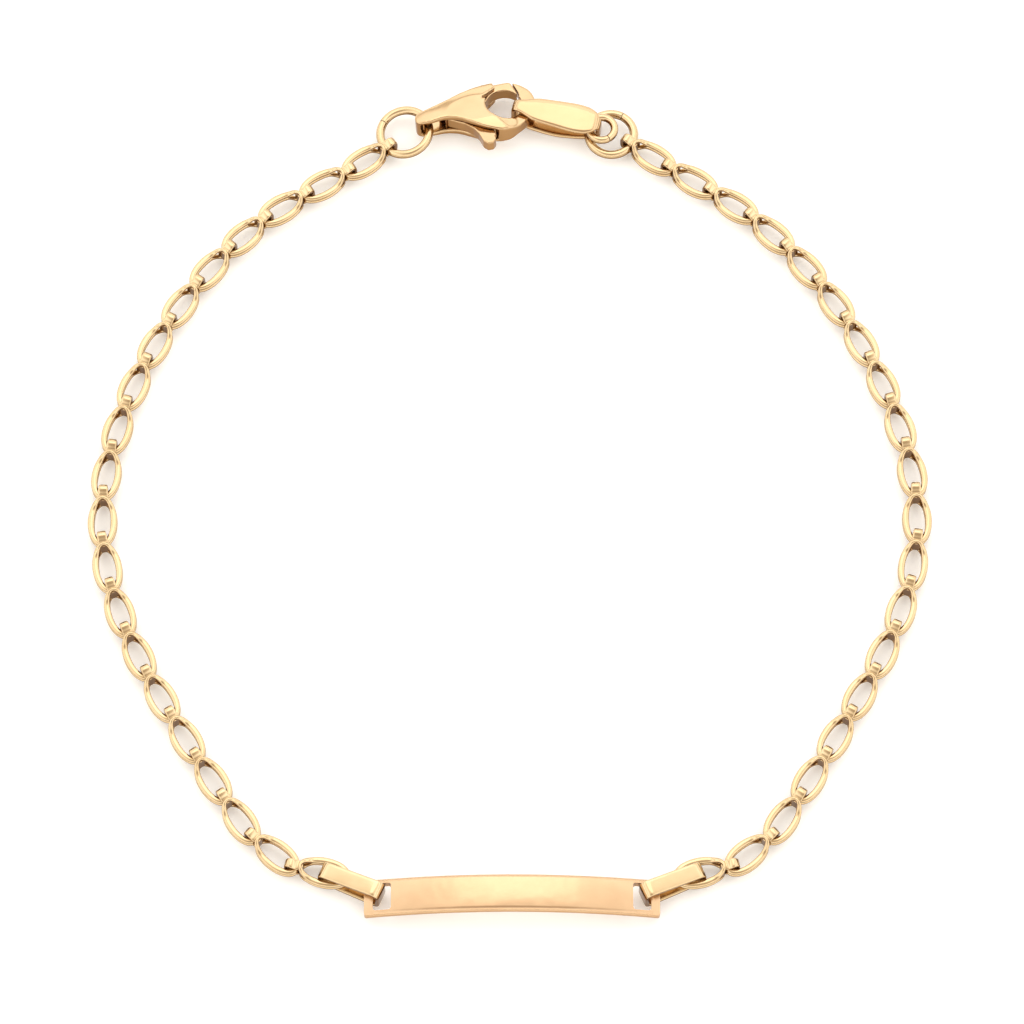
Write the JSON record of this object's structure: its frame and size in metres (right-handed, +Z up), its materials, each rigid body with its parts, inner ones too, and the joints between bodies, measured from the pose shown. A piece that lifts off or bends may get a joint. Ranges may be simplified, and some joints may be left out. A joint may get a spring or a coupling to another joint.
{
  "type": "identity bracelet",
  "caption": "Closed chain bracelet lying flat: curved plain name plate, strap bails, folded double-loop links, jump rings, end tag and a lobster clasp with a sprung lever.",
  "frame": {"origin": "centre of the bounding box's bottom, on the surface that the bracelet lies on, inside the loop", "axes": "+X to the right along the plate, +Y from the plate to the clasp, +Z up off the surface"},
  "size_m": [0.0613, 0.0656, 0.0029],
  "materials": {
    "gold": "mirror-polished yellow gold",
    "rose_gold": "mirror-polished warm yellow gold"
  },
  "bodies": {
    "bracelet": {"id_plate": "rose_gold", "bail_left": "gold", "bail_right": "gold", "ring_left": "gold", "ring_right": "gold", "ring_small": "gold", "clasp_tag": "rose_gold", "clasp_body": "gold", "clasp_pin": "gold", "link_left_01": "gold", "link_left_02": "gold", "link_left_03": "gold", "link_left_04": "gold", "link_left_05": "gold", "link_left_06": "gold", "link_left_07": "gold", "link_left_08": "gold", "link_left_09": "gold", "link_left_10": "gold", "link_left_11": "gold", "link_left_12": "gold", "link_left_13": "gold", "link_left_14": "gold", "link_left_15": "gold", "link_left_16": "gold", "link_left_17": "gold", "link_left_18": "gold", "link_left_19": "gold", "link_left_20": "gold", "link_right_01": "gold", "link_right_02": "gold", "link_right_03": "gold", "link_right_04": "gold", "link_right_05": "gold", "link_right_06": "gold", "link_right_07": "gold", "link_right_08": "gold", "link_right_09": "gold", "link_right_10": "gold", "link_right_11": "gold", "link_right_12": "gold", "link_right_13": "gold", "link_right_14": "gold", "link_right_15": "gold", "link_right_16": "gold", "link_right_17": "gold", "link_right_18": "gold", "link_right_19": "gold", "link_right_20": "gold"},
    "lever": {"clasp_lever": "rose_gold"}
  },
  "joints": [
    {"name": "clasp_lever_hinge", "type": "hinge", "parent": "bracelet", "child": "lever", "pos_m": [-0.00438, 0.02981, 0.00143], "axis": [0.0361, -0.1699, -0.9848], "range_deg": [0, 6], "stiffness_Nm_per_rad": 0.001, "springref_deg": -5.73}
  ]
}
